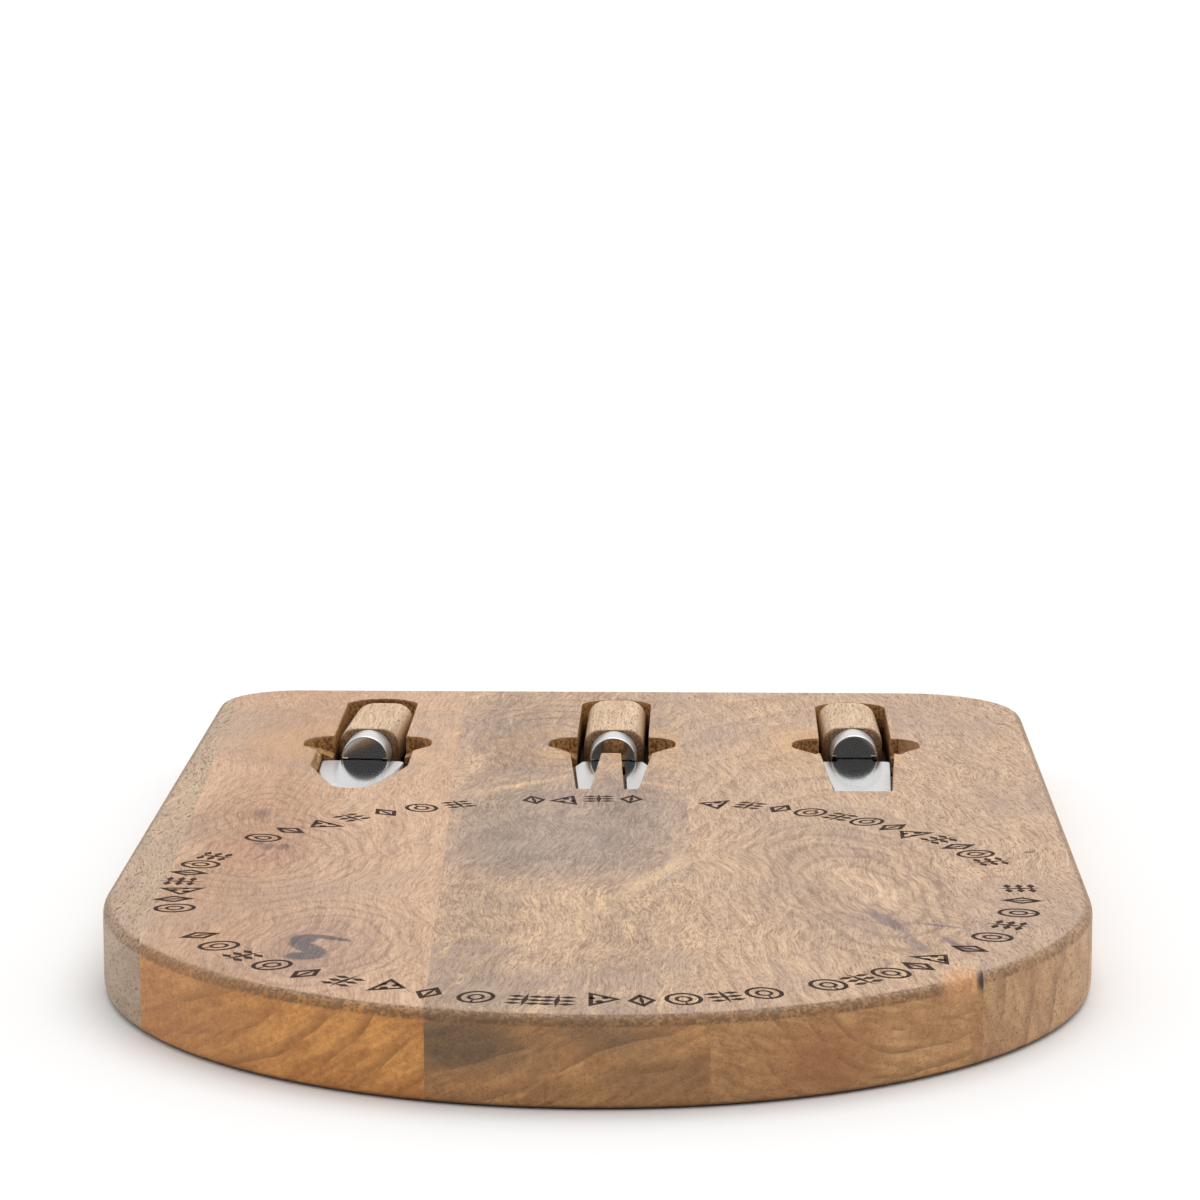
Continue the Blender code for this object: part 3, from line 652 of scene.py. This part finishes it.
ring = {
    "centre": (0.0, -0.07475),
    "inner": 0.1053,         # the marks lie between these two circles
    "outer": 0.1162,
    "rise": 0.00003,         # how far the marks stand above the top
    "depth": 0.00025,
    "char": (0.016, 0.008, 0.005),
    "scorch": (0.075, 0.034, 0.018),
    # first and last angle in degrees, and how many marks lie between them
    "rows": ((148.0, 112.5, 7), (101.0, 86.5, 4), (73.5, 18.5, 12), (2.5, -39.0, 7), (-43.5, -58.5, 4),
             (-67.5, -93.5, 6), (-97.5, -153.0, 10), (-168.5, -199.0, 7)),
}


def burntLook():
    n = newLook("burntEngraving")
    flecks = n.noise(n.place, 900.0, 3.0, 0.6)
    streak = n.noise(n.vectors("MULTIPLY", n.place, (1, 0.1, 1)), 1400.0, 2.0)
    tone = n.ramp(n.total(n.times(flecks, 0.6), n.times(streak, 0.4)), 0.35, 0.68)
    n.feed(n.shader.inputs["Base Color"], n.mix(tone, ring["char"], ring["scorch"]))
    n.shader.inputs["Roughness"].default_value = 0.8
    n.shader.inputs["Specular IOR Level"].default_value = 0.2
    n.feed(n.shader.inputs["Normal"], n.bump(flecks, 0.4, 0.0003))
    return n.look


def flatRing(width, height, corners, stroke, place=(0, 0), turn=0.0):
    # a flat outline: a filled circle with few or many corners, inset, with its middle taken out
    bpy.ops.mesh.primitive_circle_add(vertices=corners, radius=0.5, fill_type="NGON", rotation=(0, 0, turn))
    bpy.ops.object.transform_apply(location=False, rotation=True, scale=False)
    bpy.context.object.scale = (width, height, 1)
    bpy.context.object.location = (*place, 0)
    bpy.ops.object.transform_apply(location=True, rotation=False, scale=True)
    if stroke:
        bpy.ops.object.mode_set(mode="EDIT")
        bpy.ops.mesh.select_all(action="SELECT")
        bpy.ops.mesh.inset(thickness=stroke)
        bpy.ops.mesh.delete(type="FACE")
        bpy.ops.object.mode_set(mode="OBJECT")
    return bpy.context.object


def wheelMark():
    return [flatRing(0.0092, 0.0110, 28, 0.0011), flatRing(0.0044, 0.0052, 16, 0.0009),
            flatRing(0.0007, 0.0030, 4, 0, (0, 0.0038), math.pi / 4)]


def wedgeMark():
    return [flatRing(0.0104, 0.0145, 3, 0.0011, (0, -0.0017), math.pi / 2),
            flatRing(0.0020, 0.0026, 12, 0, (0, 0.0004)),
            flatRing(0.0018, 0.0023, 12, 0, (-0.0014, -0.0030)),
            flatRing(0.0015, 0.0019, 12, 0, (0.0017, -0.0027))]


def leafMark():
    return [flatRing(0.0070, 0.0112, 4, 0.0012), flatRing(0.0011, 0.0100, 4, 0)]


def sprigMark():
    made = [flatRing(0.0014, 0.0116, 4, 0)]
    for step in range(3):
        for side in (-1, 1):
            made.append(flatRing(0.0042, 0.0022, 4, 0, (side * 0.0024, -0.0030 + 0.0031 * step)))
    return made


markKinds = {"wheel": wheelMark, "wedge": wedgeMark, "leaf": leafMark, "sprig": sprigMark}


def makeMark(kind):
    deselectAll()
    parts = markKinds[kind]()
    deselectAll()
    for part in parts:
        part.select_set(True)
    bpy.context.view_layer.objects.active = parts[0]
    bpy.ops.object.join()
    master = bpy.context.object
    thick = master.modifiers.new("burnDepth", "SOLIDIFY")
    thick.thickness = ring["depth"]
    thick.offset = -1
    bpy.ops.object.modifier_apply(modifier=thick.name)
    return master


def makeRing():
    masters = {kind: makeMark(kind) for kind in markKinds}
    order = ("sprig", "wheel", "leaf", "wedge", "sprig", "leaf", "wheel")
    look = burntLook()
    middle = (ring["inner"] + ring["outer"]) / 2
    for rowNumber, (first, last, count) in enumerate(ring["rows"], 1):
        copies = []
        for k in range(count):
            angle = math.radians(first + (last - first) * k / (count - 1))
            source = masters[order[(k + rowNumber) % len(order)]]
            copy = source.copy()
            copy.data = source.data.copy()
            bpy.context.scene.collection.objects.link(copy)
            copy.location = (ring["centre"][0] + middle * math.cos(angle),
                             ring["centre"][1] + middle * math.sin(angle), topZ + ring["rise"])
            copy.rotation_euler.z = angle - math.pi / 2
            copies.append(copy)
        deselectAll()
        for copy in copies:
            copy.select_set(True)
        bpy.context.view_layer.objects.active = copies[0]
        bpy.ops.object.join()
        bpy.ops.object.transform_apply(location=True, rotation=True, scale=True)
        row = bpy.context.object
        row.name = f"engravedRow{rowNumber}"
        row.data.name = row.name
        row.data.materials.clear()
        row.data.materials.append(look)
        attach(row, "board")
    for master in masters.values():
        bpy.data.objects.remove(master)
    print("engraved ring done")


# tools

toolEdges = {
    "break": 0.00018,     # fine rounding on every blade edge
    "grind": {"spade": 0.0007, "fork": 0.0004, "chisel": 0.0009},
    "sharpEnd": {"fork": 0.004, "chisel": 0.001},   # how far back from its front end a blade is ground
    "shoulder": 0.012,    # the spade is ground from this far in front of its ferrule
}


def makeBlade(tool, look):
    node = f"{tool}_blade"
    piece = cleanCopy(node, f"{tool}Blade")
    low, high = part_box(node)
    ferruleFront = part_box(f"{tool}_ferrule")[0].y
    groundFrom = ferruleFront - toolEdges["shoulder"]
    if tool in toolEdges["sharpEnd"]:
        groundFrom = low.y + toolEdges["sharpEnd"][tool]

    def cutting(edge):
        middle = middleOf(edge)
        return middle.z >= high.z - 0.00005 and isCorner(edge) and middle.y < groundFrom

    if pick(piece, "EDGE", cutting):
        bpy.ops.mesh.bevel(offset=toolEdges["grind"][tool], segments=1, clamp_overlap=True)

    def plain(edge):
        return isCorner(edge, 60) and middleOf(edge).y < ferruleFront

    if pick(piece, "EDGE", plain):
        bpy.ops.mesh.bevel(offset=toolEdges["break"], segments=2, clamp_overlap=True)
    bpy.ops.object.mode_set(mode="OBJECT")
    finishPiece(piece, tool, [node], look, 25)


def makeFerrule(tool, look):
    node = f"{tool}_ferrule"
    piece = cleanCopy(node, f"{tool}Ferrule")
    finishPiece(piece, tool, [node], look, 32)


def makeHandle(tool, look):
    node = f"{tool}_handle"
    piece = cleanCopy(node, f"{tool}Handle")
    finishPiece(piece, tool, [node], look, 40)


def makeTools():
    for number, tool in enumerate(tools):
        makeBlade(tool, steelLook(tool, "blade"))
        makeFerrule(tool, steelLook(tool, "ferrule"))
        makeHandle(tool, handleLook(tool, number))
    print("tools done")


# floor, light and camera

studio = {
    "floor": (0.93, 0.93, 0.93),
    "sky": 0.82,
    "front": 0.06,           # the room is dark low down in front
    "frontFrom": -0.50,
    "frontTo": 0.10,
    "sun": 1.25,
    "sunSpread": math.radians(55),
    "sunTilt": (math.radians(-14), math.radians(10), 0),
    "lens": 129.22,
    "eye": (0.02863, -1.17393, 0.29089),
    "lookDown": 0.1717,
    "lookLeft": 0.0255,
}


def makeRoom():
    world = bpy.data.worlds.new("paleRoom")
    bpy.context.scene.world = world
    world.use_nodes = True
    n = Nodes(world.node_tree)
    way = n.axes(n.add("ShaderNodeTexCoord").outputs["Generated"])
    behind = n.total(way[1], n.times(way[2], 0.9))
    sky = n.tree.nodes["Background"]
    sky.inputs["Color"].default_value = (1, 1, 1, 1)
    bright = n.ramp(behind, studio["frontFrom"], studio["frontTo"], studio["front"], studio["sky"])
    n.feed(sky.inputs["Strength"], bright)


def makeStudio():
    deselectAll()
    bpy.ops.mesh.primitive_plane_add(size=80, location=(0, 0, 0))
    floor = bpy.context.object
    floor.name = "floor"
    n = newLook("paleFloor")
    n.shader.inputs["Base Color"].default_value = (*studio["floor"], 1)
    n.shader.inputs["Roughness"].default_value = 0.9
    n.shader.inputs["Specular IOR Level"].default_value = 0.1
    floor.data.materials.append(n.look)
    makeRoom()

    bpy.ops.object.light_add(type="SUN", location=(0, 0, 2), rotation=studio["sunTilt"])
    lamp = bpy.context.object
    lamp.name = "softOverheadLight"
    lamp.data.energy = studio["sun"]
    lamp.data.angle = studio["sunSpread"]

    turn = (math.pi / 2 - studio["lookDown"], 0, studio["lookLeft"])
    bpy.ops.object.camera_add(location=studio["eye"], rotation=turn)
    camera = bpy.context.object
    camera.data.lens = studio["lens"]
    camera.data.sensor_width = 36
    camera.data.clip_end = 200
    bpy.context.scene.camera = camera
    bpy.context.scene.view_settings.view_transform = "Standard"
    print("studio done")


makeBoard()
makeRing()
makeTools()
makeStudio()
